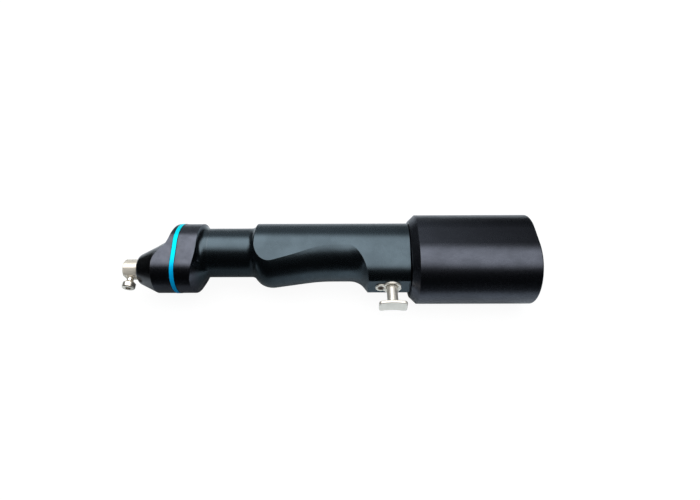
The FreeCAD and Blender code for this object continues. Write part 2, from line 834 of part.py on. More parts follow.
# Neck with the hollow where it meets the grip's front face
def neck_form():
    radius, run = hollow_arc(step_rise, step_hollow_deg)
    half = math.radians(step_hollow_deg / 2)
    high = axis_offset + neck_r
    foot = point(grip_x - run, high, 0)
    top = point(grip_x, high + step_rise, 0)
    middle = point(foot.x + radius * math.sin(half), high + radius * (1 - math.cos(half)), 0)
    below = [top, point(grip_x, axis_offset, 0), point(foot.x, axis_offset, 0), foot]
    collar = turned_edges([Part.Arc(foot, middle, top).toShape()] + lines(below), axis_offset)
    return rod(neck_x, neck_len, neck_r, axis_offset).fuse(collar)


# The edges of a solid that lie in the plane at x
def edges_at(solid, x):
    found = []
    for edge in solid.Edges:
        if abs(edge.BoundBox.XMin - x) < near_zero and abs(edge.BoundBox.XMax - x) < near_zero:
            found.append(edge)
    return found


def make_handle():
    rest_x = seam_x - rise_back + rise_run
    form = finger_form()
    neck = neck_form()
    grip = egg(grip_x, grip_len)
    grip = grip.makeFillet(edge_break, edges_at(grip, grip_x))
    front = neck.fuse(grip)
    shaped = front.common(form)
    rest = egg(rest_x, seam_x - rest_x)
    rest = rest.makeFillet(edge_break, edges_at(rest, seam_x))
    body = shaped.fuse(rest)
    facet_start = point(rest_x - top_r, facet_y - top_r, -top_r)
    facet = Part.makeBox(seam_x - rest_x + top_r, top_r, 2 * top_r, facet_start)
    body = body.cut(facet)
    body = body.cut(rod(neck_x, room_x - neck_x, neck_bore_r, axis_offset))
    body = body.cut(rod(room_x, seam_x - room_x, room_r, axis_offset))
    body = body.cut(rod(block_x, seam_x - block_x, block_r, axis_offset))
    down = point(0, -1, 0)
    axis_point = point(trigger_x, axis_offset, 0)
    body = body.cut(Part.makeCylinder(clip_r + clip_seat_gap, clip_seat_depth, axis_point, down))
    body = body.cut(Part.makeCylinder(stem_r + ledge_gap, facet_depth, axis_point, down))
    bush_top = point(trigger_x, axis_offset - clip_seat_depth - clip_ledge, 0)
    body = body.cut(Part.makeCylinder(bush_r, facet_depth, bush_top, down))
    screw_top = point(trigger_x - plate_ear_reach, facet_y + plate_screw_len, 0)
    body = body.cut(Part.makeCylinder(plate_screw_r, plate_screw_len, screw_top, down))
    parts["handle_body"] = body.removeSplitter()


# Trigger: blade and stem in one, bush, seal, clip, magnet, spring and keyhole plate
def make_trigger():
    down = point(0, -1, 0)
    blade_y = facet_y - plate_thick - trigger_stroke - blade_clear
    half = blade_len / 2
    low = blade_y - blade_thick
    inner = Part.Arc(point(trigger_x - half, blade_y - blade_sag, 0), point(trigger_x, blade_y, 0),
                     point(trigger_x + half, blade_y - blade_sag, 0)).toShape()
    outer = Part.Arc(point(trigger_x + half, low - blade_sag, 0), point(trigger_x, low, 0),
                     point(trigger_x - half, low - blade_sag, 0)).toShape()
    near = Part.LineSegment(outer.Vertexes[-1].Point, inner.Vertexes[0].Point).toShape()
    far = Part.LineSegment(inner.Vertexes[-1].Point, outer.Vertexes[0].Point).toShape()
    blade = Part.Face(Part.Wire([inner, far, outer, near])).extrude(point(0, 0, blade_width))
    blade.translate(point(0, 0, -blade_width / 2))
    corners = [edge for edge in blade.Edges if max(edge.BoundBox.XLength, edge.BoundBox.ZLength) < near_zero]
    blade = blade.makeFillet(blade_corner, corners)
    rims = [edge for edge in blade.Edges if edge.BoundBox.YLength < blade_sag + blade_corner]
    blade = blade.makeFillet(blade_edge, rims)
    stem_top = axis_offset - stem_end_depth
    stem_len = stem_top - blade_y + blade_thick / 2
    stem = Part.makeCylinder(stem_r, stem_len, point(trigger_x, stem_top, 0), down)
    button = stem.fuse(blade)
    groove_top = axis_offset - clip_depth
    groove_start = point(trigger_x, groove_top, 0)
    groove_bed = Part.makeCylinder(stem_r - clip_groove, clip_thick, groove_start, down)
    groove = Part.makeCylinder(clip_r, clip_thick, groove_start, down).cut(groove_bed)
    button = button.cut(groove)
    magnet = Part.makeCylinder(magnet_r, magnet_len, point(trigger_x, stem_top, 0), down)
    button = button.cut(magnet)
    parts["trigger_button"] = button
    parts["trigger_magnet"] = magnet
    clip = groove.copy()
    notch_corner = point(trigger_x, groove_top - clip_thick, -clip_notch / 2)
    notch = Part.makeBox(clip_r, clip_thick, clip_notch, notch_corner)
    parts["trigger_clip"] = clip.cut(notch)
    bush_top = axis_offset - clip_seat_depth - clip_ledge
    bush_len = bush_top - facet_y
    bush = Part.makeCylinder(bush_r, bush_len, point(trigger_x, bush_top, 0), down)
    bush = bush.cut(Part.makeCylinder(stem_r + running_gap, bush_len, point(trigger_x, bush_top, 0), down))
    seal_top = facet_y + stem_seal_set + stem_seal_len
    seal = Part.makeCylinder(stem_r + stem_seal_wall, stem_seal_len, point(trigger_x, seal_top, 0), down)
    bush = bush.cut(seal)
    parts["trigger_bush"] = bush
    parts["stem_seal"] = seal.cut(
        Part.makeCylinder(stem_r + running_gap, stem_seal_len, point(trigger_x, seal_top, 0), down))
    make_spring()
    make_trigger_plate()


# Return spring of square wire, wound between the fixed seat and the end of the stem
def make_spring():
    high = axis_offset - spring_seat_depth
    free_len = stem_end_depth - spring_seat_depth - spring_wire
    helix = Part.makeHelix(free_len / spring_turns, free_len, spring_r - spring_wire / 2)
    near = spring_r - spring_wire
    corners = [FreeCAD.Vector(near, 0, 0), FreeCAD.Vector(spring_r, 0, 0)]
    corners += [FreeCAD.Vector(spring_r, 0, spring_wire), FreeCAD.Vector(near, 0, spring_wire)]
    coil = helix.makePipeShell([Part.makePolygon(corners + corners[:1])], True, True)
    turn = FreeCAD.Rotation(point(0, 0, 1), point(0, -1, 0))
    coil.Placement = FreeCAD.Placement(point(trigger_x, high, 0), turn)
    parts["trigger_spring"] = coil


# Keyhole plate that holds the bush: a dished ring round the stem and a screw ear towards the nose
def make_trigger_plate():
    ear_x = trigger_x - plate_ear_reach
    y = facet_y
    low_y = y - plate_thick
    down = point(0, -1, 0)
    up = point(0, 1, 0)
    plate = Part.makeCylinder(plate_ear_r, plate_thick, point(ear_x, y, 0), down)
    plate = plate.fuse(Part.makeCylinder(plate_r, plate_thick, point(trigger_x, y, 0), down))
    plate = plate.removeSplitter()
    webs = [edge for edge in plate.Edges if web_edge(edge, ear_x)]
    plate = plate.makeFillet(plate_web_round, webs)
    low_edges = [edge for edge in plate.Edges if abs(edge.BoundBox.YMax - low_y) < near_zero]
    plate = plate.makeFillet(plate_edge, low_edges)
    hole_r = stem_r + plate_hole_gap
    plate = plate.cut(Part.makeCylinder(hole_r, plate_thick, point(trigger_x, y, 0), down))
    dish = Part.makeCone(hole_r + plate_dish_wide, hole_r, plate_dish_deep, point(trigger_x, low_y, 0), up)
    plate = plate.cut(dish)
    seat_y = low_y + plate_screw_head_len + plate_screw_sink
    plate = plate.cut(Part.makeCylinder(plate_screw_head_r + plate_screw_head_gap, plate_thick,
                                        point(ear_x, seat_y, 0), down))
    plate = plate.cut(Part.makeCylinder(plate_screw_r, plate_thick, point(ear_x, y, 0), down))
    parts["trigger_plate"] = plate
    parts["trigger_plate_screw"] = screw(point(ear_x, seat_y, 0), down, plate_screw_head_r,
                                         plate_screw_head_len, plate_screw_r, plate_screw_len + seat_y - y,
                                         plate_screw_socket_r, plate_screw_socket_deep)


# True for an upright edge where the ear meets the ring
def web_edge(edge, ear_x):
    box = edge.BoundBox
    if max(box.XLength, box.ZLength) > near_zero:
        return False
    from_ear = math.hypot(box.XMin - ear_x, box.ZMin)
    from_ring = math.hypot(box.XMin - trigger_x, box.ZMin)
    return abs(from_ear - plate_ear_r) < near_zero and abs(from_ring - plate_r) < near_zero


# Electronics: a tray across the grip, the board on it, its components and the spring's seat
def make_electronics():
    tray_y = axis_offset + tray_rise
    half = math.sqrt((room_r - carrier_gap) ** 2 - (tray_rise + tray_thick) ** 2)
    tray = Part.makeBox(tray_len, tray_thick, 2 * half, point(tray_x, tray_y, -half))
    board_x = tray_x + board_front
    board_len = tray_len - board_front - board_rear
    board_y = tray_y + tray_thick
    board_width = board_wide_part * room_r
    board = Part.makeBox(board_len, board_thick, board_width, point(board_x, board_y, -board_width / 2))
    top_y = board_y + board_thick
    screws = []
    for x in (board_x + board_screw_inset, board_x + board_len - board_screw_inset):
        for side in (-1, 1):
            z = side * (board_width / 2 - board_screw_inset)
            seat = point(x, top_y, z)
            hole_len = board_thick + tray_thick
            hole = Part.makeCylinder(board_screw_r, hole_len, seat, point(0, -1, 0))
            board = board.cut(hole)
            tray = tray.cut(hole)
            screws.append(screw(seat, point(0, 1, 0), board_screw_head_r, board_screw_head_len,
                                board_screw_r, hole_len))
    parts["control_board"] = board
    parts["board_screws"] = Part.makeCompound(screws)
    pieces = []
    for i in range(switch_count):
        row = i % 2
        x = board_x + switch_start + (i // 2) * switch_pitch
        z = -switch_pitch / 2 + row * switch_pitch - switch_size / 2
        pieces.append(Part.makeBox(switch_size, switch_height, switch_size, point(x, top_y, z)))
    chip_corner = point(board_x + chip_start, top_y, -chip_size / 2)
    pieces.append(Part.makeBox(chip_size, chip_height, chip_size, chip_corner))
    parts["board_components"] = Part.makeCompound(pieces)
    capacitors = []
    for side in (-1, 1):
        centre = point(tray_x + capacitor_start, tray_y - capacitor_r, side * capacitor_apart / 2)
        capacitors.append(Part.makeCylinder(capacitor_r, capacitor_len, centre, point(1, 0, 0)))
    parts["capacitors"] = Part.makeCompound(capacitors)
    seat_low = axis_offset - spring_seat_depth
    post = Part.makeCylinder(spring_seat_r, tray_y - seat_low, point(trigger_x, tray_y, 0), point(0, -1, 0))
    hall_pocket = Part.makeBox(hall_size, hall_thick, hall_size,
                               point(trigger_x - hall_size / 2, seat_low, -hall_size / 2))
    parts["spring_seat"] = post.cut(hall_pocket)
    parts["hall_sensor"] = hall_pocket
    parts["board_tray"] = tray


# Contact block that closes the grip and plugs into the battery
def pin_places():
    places = []
    for i in range(pin_count):
        turn = 2 * math.pi * (i + 0.5) / pin_count
        places.append((axis_offset + pin_circle_r * math.cos(turn), pin_circle_r * math.sin(turn)))
    return places


# Stiff tail of an upper pin, up round the end of the tray and onto the control board
def pin_tail(y, z):
    start_x = pin_end_x - pin_len
    turn_x = start_x - pin_tail_back
    tail_end_x = tray_x + tray_len - board_rear - pin_tail_on_board
    over_y = lead_height()
    stops = [(start_x, y), (turn_x, y), (turn_x, over_y), (tail_end_x, over_y)]
    return wire([point(stop_x, stop_y, z) for stop_x, stop_y in stops], lead_r)


# Height of the leads that lie on the control board
def lead_height():
    return axis_offset + tray_rise + tray_thick + board_thick + running_gap + lead_r


def make_contact_block():
    block = rod(block_x, block_flange_len, block_r, axis_offset)
    spigot_x = block_x + block_flange_len
    block = block.fuse(rod(spigot_x, seam_x + spigot_len - spigot_x, spigot_r, axis_offset))
    seal = tube(seam_x + seal_back, seal_width, spigot_r + slide_gap / 2, spigot_r - seal_deep, axis_offset)
    block = block.cut(seal)
    pins = []
    for y, z in pin_places():
        pin = rod(pin_end_x - pin_len, pin_len, pin_r, y, z)
        block = block.cut(pin)
        if y > axis_offset:
            pin = pin.fuse(pin_tail(y, z))
        pins.append(pin)
    parts["contact_block"] = block.removeSplitter()
    parts["contact_pins"] = Part.makeCompound(pins)
    parts["contact_seal"] = seal
    parts["block_ring"] = tube(spigot_x, block_ring_len, block_r, spigot_r, axis_offset)


# Battery: casing with a bevelled front, end cap, cells in carriers, links and contacts
def make_battery():
    front_x = seam_x + seam_gap
    full_x = seam_x + casing_front_len
    front = Part.makeLoft([casing_wire(front_x, casing_front_inset), casing_wire(full_x)], True, True)
    rear = casing_block(full_x, end_x - full_x)
    rear = rear.makeFillet(casing_rear_round, edges_at(rear, end_x))
    casing = front.fuse(rear)
    casing = casing.cut(rod(seam_x, battery_room_x - seam_x, spigot_r + slide_gap, axis_offset))
    room = casing_block(battery_room_x, end_cap_x - battery_room_x, casing_wall)
    bosses = []
    screws = []
    cap = casing_block(end_cap_x, end_cap_thick, end_cap_inset)
    for y in end_screw_heights():
        bosses.append(rod(end_cap_x - end_boss_len, end_boss_len, end_boss_r, y))
    for boss in bosses:
        room = room.cut(boss)
    casing = casing.cut(room)
    casing = casing.cut(cap)
    for y in end_screw_heights():
        seat = point(end_x - end_screw_head_len, y, 0)
        casing = casing.cut(rod(end_cap_x - end_screw_len, end_screw_len, end_screw_r, y))
        cap = cap.cut(rod(seat.x, end_screw_head_len, end_screw_head_r, y))
        cap = cap.cut(rod(end_cap_x, end_cap_thick, end_screw_r, y))
        shank = end_screw_len + end_cap_thick - end_screw_head_len - end_screw_spare
        screws.append(screw(seat, point(1, 0, 0), end_screw_head_r, end_screw_head_len, end_screw_r, shank,
                            end_screw_socket_r, end_screw_socket_deep))
    parts["battery_casing"] = casing.removeSplitter()
    parts["battery_end_cap"] = cap
    parts["end_cap_screws"] = Part.makeCompound(screws)
    make_cells()


def end_screw_heights():
    reach = casing_r - casing_wall - end_boss_r + end_boss_sink
    return (casing_high_y + reach, casing_low_y - reach)


def make_cells():
    middle_y = casing_mid_y
    step = cell_r + cell_gap / 2
    cells = []
    holes = []
    for up in (-1, 1):
        for side in (-1, 1):
            cells.append(rod(cell_x, cell_len, cell_r, middle_y + up * step, side * step))
    parts["battery_cells"] = Part.makeCompound(cells)
    rear_x = end_cap_x - rest_gap - link_thick - carrier_thick
    for name, x in (("cell_carrier_front", cell_x), ("cell_carrier_rear", rear_x)):
        carrier = casing_block(x, carrier_thick, casing_wall + carrier_gap)
        for cell in cells:
            carrier = carrier.cut(cell)
        if name == "cell_carrier_rear":
            for y in end_screw_heights():
                carrier = carrier.cut(rod(x, carrier_thick, end_boss_r + carrier_gap, y))
        parts[name] = carrier
    links = []
    for side in (-1, 1):
        length = 2 * step + link_width
        low = middle_y - length / 2
        links.append(Part.makeBox(link_thick, length, link_width,
                                  point(cell_x + cell_len, low, side * step - link_width / 2)))
    for up in (-1, 1):
        length = 2 * step + link_width
        corner = point(cell_x - link_thick, middle_y + up * step - link_width / 2, -length / 2)
        links.append(Part.makeBox(link_thick, link_width, length, corner))
    parts["cell_links"] = Part.makeCompound(links)
    plate = rod(contact_plate_x, contact_plate_thick, spigot_r, axis_offset)
    contacts = []
    for y, z in pin_places():
        contact = rod(contact_plate_x, contact_plate_thick, pin_r, y, z)
        plate = plate.cut(contact)
        contacts.append(contact)
    parts["battery_contact_plate"] = plate
    parts["battery_contacts"] = Part.makeCompound(contacts)
    guard_x = cell_x + carrier_thick
    guard_y = middle_y - step - cell_r - guard_board_gap - guard_board_thick
    parts["battery_guard_board"] = Part.makeBox(rear_x - guard_x, guard_board_thick, guard_board_width,
                                                point(guard_x, guard_y, -guard_board_width / 2))


def write_parts():
    os.makedirs("parts", exist_ok=True)
    for name, shape in parts.items():
        shape.exportStep("parts/" + name + ".step")


make_nose()
make_front_cap()
make_colour_ring()
make_gear_housing()
make_spindle()
make_clamp()
make_gears()
make_bearings()
make_motor()
make_handle()
make_trigger()
make_electronics()
make_contact_block()
make_battery()
write_parts()
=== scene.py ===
import bpy
import json
import math
from mathutils import Matrix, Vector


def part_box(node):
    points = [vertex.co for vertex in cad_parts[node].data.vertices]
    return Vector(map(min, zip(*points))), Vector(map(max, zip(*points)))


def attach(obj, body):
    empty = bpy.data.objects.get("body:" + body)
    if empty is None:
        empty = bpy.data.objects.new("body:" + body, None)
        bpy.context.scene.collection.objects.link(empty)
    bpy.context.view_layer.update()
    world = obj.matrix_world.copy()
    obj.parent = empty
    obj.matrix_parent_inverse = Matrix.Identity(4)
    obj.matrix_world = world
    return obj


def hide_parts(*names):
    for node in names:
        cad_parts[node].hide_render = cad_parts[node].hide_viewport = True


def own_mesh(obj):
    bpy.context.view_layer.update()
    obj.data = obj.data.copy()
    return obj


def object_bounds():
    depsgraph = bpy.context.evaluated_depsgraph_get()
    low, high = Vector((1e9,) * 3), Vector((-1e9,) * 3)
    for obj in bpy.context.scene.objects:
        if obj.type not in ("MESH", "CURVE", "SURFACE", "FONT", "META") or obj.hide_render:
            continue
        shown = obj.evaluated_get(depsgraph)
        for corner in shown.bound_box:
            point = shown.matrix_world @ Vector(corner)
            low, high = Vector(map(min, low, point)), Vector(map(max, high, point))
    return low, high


# Looks for an in-line surgical drill that lies on its side on a white table.
# Metres. +X runs rearward along the tool, -Y is the way the trigger points, +Z is up.

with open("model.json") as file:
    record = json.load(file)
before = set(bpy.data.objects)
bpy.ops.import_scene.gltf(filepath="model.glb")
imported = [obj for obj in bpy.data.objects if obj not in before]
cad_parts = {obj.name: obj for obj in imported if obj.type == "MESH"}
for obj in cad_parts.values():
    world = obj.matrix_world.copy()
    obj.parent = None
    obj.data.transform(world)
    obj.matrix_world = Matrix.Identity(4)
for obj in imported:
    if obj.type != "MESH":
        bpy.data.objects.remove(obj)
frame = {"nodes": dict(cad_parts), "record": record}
cad_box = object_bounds()
nodes = frame["nodes"]

# Camera, as the photograph was taken: from the trigger's side, well above the tool.
# Pan, tilt and roll are small turns in radians.
camera_place = (0.1444, -0.1631, 0.2252)
camera_height_deg = 51.70
camera_pan = 0.0055
camera_tilt = 0.0018
camera_roll = -0.0030
camera_clip = 0.01
photo_width_px = 700
focal_px = 434.6
sensor_width_mm = 36.0

# Soft box above the tool, turned a little so that its right end comes towards the camera
box_light_place = (0.1612, 0.020, 0.700)
box_light_long = 1.40
box_light_widths = (0.50, 0.70, 0.90)
box_light_turn_deg = -24.0
box_light_radiance = 2.45
sheet_gap = 0.002

# Room in reflections: dark on the camera's side, brighter behind the tool, dark at both ends.
# The spans are of a direction's X and Y, where 1 is straight along the axis.
room_near = 0.015
room_far = 0.46
room_far_right = 0.02
room_left = 0.12
room_right_span = (0.02, 0.36)
room_left_span = (-0.60, -0.30)
room_back_span = (-0.3, 0.4)
room_diffuse = 0.16
room_colour = (0.88, 0.95, 1.0)

# White table as the camera sees it: near white, and a little grey that carries the shadow
table_half = 3.0
table_middle_x = 0.1412
table_squash = (0.6, 1.0, 0.0)
seen_span = (0.06, 0.40)
seen_near = 0.935
seen_far = 1.00
seen_grey = 0.11

# White table in reflections: bright close in front of the tool, though less so beside the
# head, where a shadow of the tool is painted on it, and bright behind it
front_span = (-0.092, -0.042)
front_far = 0.06
front_near = 0.95
front_painted_shadow = 0.26
left_open_span = (-0.030, 0.015)
right_open_span = (0.050, 0.170)
behind_span = (-0.02, 0.05)
behind_share = 0.90

# Return spring of the trigger: square wire, squeezed against its seat as the trigger goes in
spring_wire = 0.0006
spring_turns = 6
spring_steps = 24

# Noise that all surfaces share: patches of colour, and a fine grain in gloss and height
patch_detail = 4.0
patch_span = (0.30, 0.70)
grain_detail = 2.0
grain_span = (0.25, 0.75)
noise_rough = 0.6
relief_depth = 0.0001
bevel_samples = 6

# Painted shade in the shut lines beside the coloured ring
seam_width = 0.0004
seam_painted_shade = (0.004, 0.010, 0.020)


# Small helpers that build shader nodes
def new_material(name):
    material = bpy.data.materials.new(name)
    material.use_nodes = True
    tree = material.node_tree
    tree.nodes.clear()
    output = tree.nodes.new("ShaderNodeOutputMaterial")
    return material, tree, output


def link(tree, source, target):
    tree.links.new(source, target)


def math_node(tree, operation, first, second, clamp=False):
    node = tree.nodes.new("ShaderNodeMath")
    node.operation = operation
    node.use_clamp = clamp
    for socket, value in zip(node.inputs, (first, second)):
        if isinstance(value, (int, float)):
            socket.default_value = value
        else:
            link(tree, value, socket)
    return node.outputs[0]


def vector_node(tree, operation, first, second=None):
    node = tree.nodes.new("ShaderNodeVectorMath")
    node.operation = operation
    link(tree, first, node.inputs[0])
    if isinstance(second, tuple):
        node.inputs[1].default_value = second
    elif second is not None:
        link(tree, second, node.inputs[1])
    return node.outputs


def map_range(tree, value, span, first, last, smooth=True):
    node = tree.nodes.new("ShaderNodeMapRange")
    node.interpolation_type = "SMOOTHSTEP" if smooth else "LINEAR"
    link(tree, value, node.inputs["Value"])
    node.inputs["From Min"].default_value = span[0]
    node.inputs["From Max"].default_value = span[1]
    node.inputs["To Min"].default_value = first
    node.inputs["To Max"].default_value = last
    return node.outputs["Result"]


def mix_colour(tree, factor, first, second):
    node = tree.nodes.new("ShaderNodeMix")
    node.data_type = "RGBA"
    link(tree, factor, node.inputs["Factor"])
    sockets = [socket for socket in node.inputs if socket.type == "RGBA"]
    for socket, value in zip(sockets, (first, second)):
        if isinstance(value, tuple):
            socket.default_value = (*value, 1.0)
        else:
            link(tree, value, socket)
    return [socket for socket in node.outputs if socket.type == "RGBA"][0]


def noise(tree, scale, detail, stretch):
    place = tree.nodes.new("ShaderNodeTexCoord")
    mapping = tree.nodes.new("ShaderNodeMapping")
    mapping.inputs["Scale"].default_value = stretch
    link(tree, place.outputs["Object"], mapping.inputs["Vector"])
    node = tree.nodes.new("ShaderNodeTexNoise")
    node.inputs["Scale"].default_value = scale
    node.inputs["Detail"].default_value = detail
    node.inputs["Roughness"].default_value = noise_rough
    link(tree, mapping.outputs["Vector"], node.inputs["Vector"])
    return node.outputs["Fac"]


# X, Y and Z of a vector
def split(tree, vector):
    node = tree.nodes.new("ShaderNodeSeparateXYZ")
    link(tree, vector, node.inputs["Vector"])
    return node.outputs


# X, Y and Z of the place on the object, or for the world of the direction
def place_on(tree, source="Object"):
    return split(tree, tree.nodes.new("ShaderNodeTexCoord").outputs[source])


# Bright where the surface turns sharply: an edge that has rubbed through, and a painted highlight
# along the edge
def edge_wear_and_highlight_mask(tree, width, gain):
    bevel = tree.nodes.new("ShaderNodeBevel")
    bevel.samples = bevel_samples
    bevel.inputs["Radius"].default_value = width
    geometry = tree.nodes.new("ShaderNodeNewGeometry")
    same = vector_node(tree, "DOT_PRODUCT", bevel.outputs["Normal"], geometry.outputs["Normal"])
    turned = math_node(tree, "SUBTRACT", 1.0, same["Value"])
    return math_node(tree, "MULTIPLY", turned, gain, clamp=True)


# Painted shade in the shut lines at both ends of a band that runs across the tool
def seam_shade_mask(tree, first_x, last_x):
    place = place_on(tree)
    from_first = math_node(tree, "SUBTRACT", place["X"], first_x)
    from_last = math_node(tree, "SUBTRACT", last_x, place["X"])
    nearest = math_node(tree, "MINIMUM", from_first, from_last)
    return map_range(tree, nearest, (seam_width / 2, seam_width), 1.0, 0.0)


# The one surface that all slots share: colour patches, rubbed edges with a painted highlight
# along them, painted shade in shut lines, grain in gloss and in height. turn is a second
# colour, the span over which it takes over, and the axis.
def surface(name, colour, metallic, rough, specular=0.5, turn=None, shaded_seams=None,
            patch=0.12, patch_scale=60.0, patch_stretch=(1, 1, 1),
            grain=0.05, grain_scale=1500.0, grain_stretch=(1, 1, 1), bump=0.02,
            edge_colour=None, edge_width=0.0004, edge_gain=3.0):
    material, tree, output = new_material(name)
    shader = tree.nodes.new("ShaderNodeBsdfPrincipled")
    shader.inputs["Metallic"].default_value = metallic
    shader.inputs["Specular IOR Level"].default_value = specular
    patches = noise(tree, patch_scale, patch_detail, patch_stretch)
    dark = tuple(c * (1 - patch) for c in colour)
    light = tuple(min(1.0, c * (1 + patch)) for c in colour)
    tint = mix_colour(tree, map_range(tree, patches, patch_span, 0.0, 1.0), dark, light)
    if turn:
        turn_colour, turn_span, turn_axis = turn
        share = map_range(tree, place_on(tree)[turn_axis], turn_span, 0.0, 1.0)
        tint = mix_colour(tree, share, tint, turn_colour)
    # Rubbed edges, and a painted highlight along the edges
    if edge_colour:
        tint = mix_colour(tree, edge_wear_and_highlight_mask(tree, edge_width, edge_gain), tint, edge_colour)
    # Painted shade in the shut lines
    if shaded_seams:
        tint = mix_colour(tree, seam_shade_mask(tree, *shaded_seams), tint, seam_painted_shade)
    link(tree, tint, shader.inputs["Base Color"])
    fine = noise(tree, grain_scale, grain_detail, grain_stretch)
    fine_gloss = map_range(tree, fine, grain_span, rough - grain, rough + grain)
    patch_gloss = map_range(tree, patches, patch_span, grain / 2, -grain / 2)
    gloss = math_node(tree, "ADD", fine_gloss, patch_gloss)
    link(tree, gloss, shader.inputs["Roughness"])
    relief = tree.nodes.new("ShaderNodeBump")
    relief.inputs["Strength"].default_value = bump
    relief.inputs["Distance"].default_value = relief_depth
    link(tree, fine, relief.inputs["Height"])
    link(tree, relief.outputs["Normal"], shader.inputs["Normal"])
    link(tree, shader.outputs["BSDF"], output.inputs["Surface"])
    return material


# Stretch of the grain: turned round the tool's long axis, or drawn along it
around = (9.0, 0.6, 0.6)
along = (0.5, 8.0, 8.0)
stacked = (60, 0.3, 0.3)

# Colours and grains that more than one surface has
# Rubbed-through edges, with a painted highlight along them
worn_and_highlit_edge = (0.18, 0.19, 0.205)
head_tint = (0.076, 0.081, 0.098)
head_grain = {"patch_scale": 150.0, "grain": 0.03, "grain_scale": 2600.0, "bump": 0.04}
turned_grain = {"patch": 0.04, "grain": 0.03, "grain_stretch": around, "grain_scale": 900.0,
                "bump": 0.03}

# The ring goes from deep blue on the trigger's side to bright blue: painted shade on the
# trigger's side and painted light towards the top. It has painted shade in its shut lines.
ring_low, ring_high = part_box("colour_ring")
ring_painted_light = ((0.0, 0.84, 1.0), (-0.012, 0.001), "Y")

# Surfaces, one for each slot of the record
finishes = {
    "grip_black": surface(
        "satin_blue_black", (0.058, 0.077, 0.090), 1.0, 0.27, patch=0.10, grain=0.03,
        grain_scale=2600.0, bump=0.04, edge_colour=worn_and_highlit_edge),
    "head_black": surface(
        "satin_violet_black", head_tint, 1.0, 0.25, patch=0.16, edge_colour=worn_and_highlit_edge,
        edge_gain=6.0, **head_grain),
    "casing_black": surface(
        "satin_worn_black", (0.061, 0.066, 0.081), 1.0, 0.29, patch=0.13, patch_scale=150.0,
        patch_stretch=(0.5, 1, 1), grain=0.03, grain_scale=2200.0, bump=0.05,
        edge_colour=worn_and_highlit_edge),
    "nose_black": surface("gloss_black", (0.056, 0.058, 0.062), 1.0, 0.20, patch=0.1, grain=0.03),
    # The ring: painted shade and light across it, and painted shade in its shut lines
    "ring_blue": surface(
        "bright_blue", (0.0, 0.48, 1.0), 0.25, 0.40, specular=0.04, turn=ring_painted_light,
        shaded_seams=(ring_low[0], ring_high[0]), patch=0.04, grain=0.03, bump=0.01),
    "polished_steel": surface("polished_steel", (0.93, 0.87, 0.77), 0.90, 0.22, **turned_grain),
    "satin_steel": surface(
        "satin_steel", (0.92, 0.88, 0.80), 0.75, 0.36, patch=0.06, grain_stretch=along,
        grain_scale=700.0, bump=0.05),
    "bearing_steel": surface(
        "bearing_steel", (0.58, 0.58, 0.60), 1.0, 0.18, grain_stretch=around),
    "gear_steel": surface("gear_steel", (0.40, 0.40, 0.42), 1.0, 0.32, grain_stretch=around),
    "screw_steel": surface("screw_steel", (0.50, 0.50, 0.50), 1.0, 0.26),
    "motor_metal": surface("machined_metal", (0.66, 0.66, 0.68), 1.0, 0.34, grain_stretch=around),
    "lamination": surface(
        "lamination", (0.22, 0.22, 0.24), 1.0, 0.45, grain_stretch=stacked, bump=0.3),
    "copper": surface("copper", (0.72, 0.34, 0.17), 1.0, 0.30, grain_stretch=along, bump=0.3),
    "magnet": surface("magnet", (0.32, 0.33, 0.35), 1.0, 0.22),
    "contact_gold": surface("gold", (0.85, 0.62, 0.28), 1.0, 0.20),
    "seal_rubber": surface("rubber", (0.018, 0.018, 0.018), 0.0, 0.62, bump=0.1),
    "board_green": surface(
        "board_green", (0.02, 0.19, 0.08), 0.0, 0.32, patch=0.2, patch_scale=220.0),
    "chip_black": surface("chip_black", (0.022, 0.022, 0.022), 0.0, 0.5, bump=0.08),
    "frame_plastic": surface("frame_plastic", (0.10, 0.10, 0.11), 0.0, 0.45, bump=0.08),
    "bush_plastic": surface("bush_plastic", (0.74, 0.70, 0.60), 0.0, 0.40, bump=0.05),
    "cell_wrap": surface("cell_wrap", (0.06, 0.27, 0.18), 0.0, 0.28, patch=0.08),
    "nickel": surface("nickel", (0.62, 0.60, 0.56), 1.0, 0.28, grain_stretch=along),
}

# Pieces whose finish differs from the rest of their slot. The gear housing turns from the
# head's tint to the neck's.
neck_turn = ((0.060, 0.079, 0.092), (0.046, 0.050), "X")
own_finishes = {
    "gear_housing": surface(
        "head_to_neck_black", head_tint, 1.0, 0.25, turn=neck_turn, **head_grain),
    "chuck_spindle": surface("bright_steel", (0.97, 0.89, 0.77), 0.45, 0.22, **turned_grain),
    # The plate's screw is coloured dark: painted shade of the recess it sits in
    "trigger_plate_screw": surface("screw_painted_recess_shade", (0.13, 0.10, 0.08), 1.0, 0.28, patch=0.2),
}


def dress_nodes():
    for part in frame["record"]["subparts"]:
        name, slot = part["node"], part["material_slot"]
        node = nodes[name]
        node.data.materials.clear()
        node.data.materials.append(own_finishes.get(name, finishes[slot]))


def add_piece(name, points, faces, material):
    mesh = bpy.data.meshes.new(name)
    mesh.from_pydata(points, [], faces)
    mesh.materials.append(material)
    piece = bpy.data.objects.new(name, mesh)
    bpy.context.scene.collection.objects.link(piece)
    return piece


